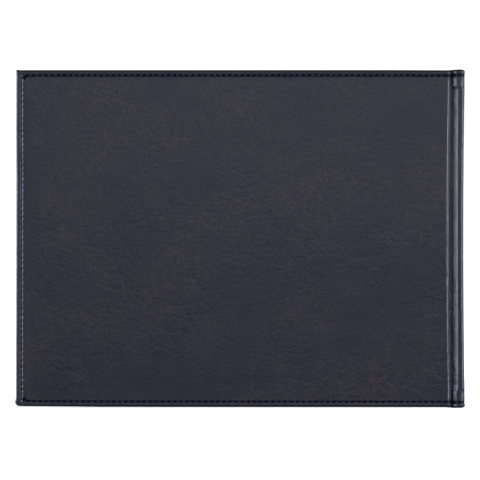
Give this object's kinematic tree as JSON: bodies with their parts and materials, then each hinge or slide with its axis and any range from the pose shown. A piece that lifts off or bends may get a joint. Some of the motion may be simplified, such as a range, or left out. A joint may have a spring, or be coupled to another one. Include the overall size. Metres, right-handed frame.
{
  "type": "pilot logbook",
  "caption": "Landscape case-bound logbook with a dark stitched leather-look cover, a deep groove beside the flat spine, sewn ruled pages and covers that open",
  "frame": {"origin": "middle of the closed book's tail edge, on the surface it stands on", "axes": "+X from the fore-edge towards the spine, +Y from the back cover towards the front cover, +Z from tail to head"},
  "size_m": [0.304, 0.02, 0.2294],
  "materials": {
    "leather": "fine grain, satin",
    "greyboard": "matt",
    "stitching_thread": "twisted thread",
    "endpaper": "matt",
    "log_paper": "matt, ruled",
    "sewing_thread": "waxed",
    "mull": "open weave",
    "kraft": "matt",
    "band_cloth": "striped"
  },
  "bodies": {
    "text_block": {"signature_04": "log_paper", "signature_05": "log_paper", "signature_06": "log_paper", "signature_07": "log_paper", "signature_08": "log_paper", "signature_09": "log_paper", "sewing_thread": "sewing_thread", "mull_spine": "mull", "spine_liner": "kraft", "head_band": "band_cloth", "tail_band": "band_cloth", "spine_board": "greyboard", "spine_leather": "leather", "spine_stitching": "stitching_thread"},
    "front_cover": {"front_board": "greyboard", "front_cover_leather": "leather", "front_joint_leather": "leather", "front_stitching": "stitching_thread", "front_joint_stitching": "stitching_thread", "front_pastedown": "endpaper", "front_mull_flange": "mull"},
    "front_endleaf": {"front_flyleaf": "endpaper"},
    "back_cover": {"back_board": "greyboard", "back_cover_leather": "leather", "back_joint_leather": "leather", "back_stitching": "stitching_thread", "back_joint_stitching": "stitching_thread", "back_pastedown": "endpaper", "back_mull_flange": "mull"},
    "back_endleaf": {"back_flyleaf": "endpaper"},
    "leaves_01": {"signature_01": "log_paper"},
    "leaves_02": {"signature_02": "log_paper"},
    "leaves_03": {"signature_03": "log_paper"},
    "leaves_12": {"signature_12": "log_paper"},
    "leaves_11": {"signature_11": "log_paper"},
    "leaves_10": {"signature_10": "log_paper"}
  },
  "joints": [
    {"name": "front_cover_hinge", "type": "hinge", "parent": "text_block", "child": "front_cover", "pos_m": [0.1488, 0.00622, 0.1145], "axis": [0, 0, -1], "range_deg": [0, 180], "deforming": ["front_joint_leather", "front_joint_stitching", "front_pastedown", "front_mull_flange"]},
    {"name": "front_flyleaf_turn", "type": "hinge", "parent": "text_block", "child": "front_endleaf", "pos_m": [0.1488, 0.00622, 0.1145], "axis": [0, 0, -1], "range_deg": [0, 162], "deforming": ["front_flyleaf"]},
    {"name": "leaves_01_turn", "type": "hinge", "parent": "text_block", "child": "leaves_01", "pos_m": [0.14846, 0.0055, 0.1145], "axis": [0, 0, -1], "range_deg": [0, 111.6], "deforming": ["signature_01"]},
    {"name": "leaves_02_turn", "type": "hinge", "parent": "text_block", "child": "leaves_02", "pos_m": [0.14846, 0.0045, 0.1145], "axis": [0, 0, -1], "range_deg": [0, 68.4], "deforming": ["signature_02"]},
    {"name": "leaves_03_turn", "type": "hinge", "parent": "text_block", "child": "leaves_03", "pos_m": [0.14846, 0.0035, 0.1145], "axis": [0, 0, -1], "range_deg": [0, 32.4], "deforming": ["signature_03"]},
    {"name": "back_cover_hinge", "type": "hinge", "parent": "text_block", "child": "back_cover", "pos_m": [0.1488, -0.00622, 0.1145], "axis": [0, 0, 1], "range_deg": [0, 180], "deforming": ["back_joint_leather", "back_joint_stitching", "back_pastedown", "back_mull_flange"]},
    {"name": "back_flyleaf_turn", "type": "hinge", "parent": "text_block", "child": "back_endleaf", "pos_m": [0.1488, -0.00622, 0.1145], "axis": [0, 0, 1], "range_deg": [0, 162], "deforming": ["back_flyleaf"]},
    {"name": "leaves_12_turn", "type": "hinge", "parent": "text_block", "child": "leaves_12", "pos_m": [0.14846, -0.0055, 0.1145], "axis": [0, 0, 1], "range_deg": [0, 111.6], "deforming": ["signature_12"]},
    {"name": "leaves_11_turn", "type": "hinge", "parent": "text_block", "child": "leaves_11", "pos_m": [0.14846, -0.0045, 0.1145], "axis": [0, 0, 1], "range_deg": [0, 68.4], "deforming": ["signature_11"]},
    {"name": "leaves_10_turn", "type": "hinge", "parent": "text_block", "child": "leaves_10", "pos_m": [0.14846, -0.0035, 0.1145], "axis": [0, 0, 1], "range_deg": [0, 32.4], "deforming": ["signature_10"]}
  ],
  "couplings": [
    {"joint": "front_flyleaf_turn", "follows": "front_cover_hinge", "ratio": 0.9},
    {"joint": "leaves_01_turn", "follows": "front_cover_hinge", "ratio": 0.62},
    {"joint": "leaves_02_turn", "follows": "front_cover_hinge", "ratio": 0.38},
    {"joint": "leaves_03_turn", "follows": "front_cover_hinge", "ratio": 0.18},
    {"joint": "back_flyleaf_turn", "follows": "back_cover_hinge", "ratio": 0.9},
    {"joint": "leaves_12_turn", "follows": "back_cover_hinge", "ratio": 0.62},
    {"joint": "leaves_11_turn", "follows": "back_cover_hinge", "ratio": 0.38},
    {"joint": "leaves_10_turn", "follows": "back_cover_hinge", "ratio": 0.18}
  ]
}
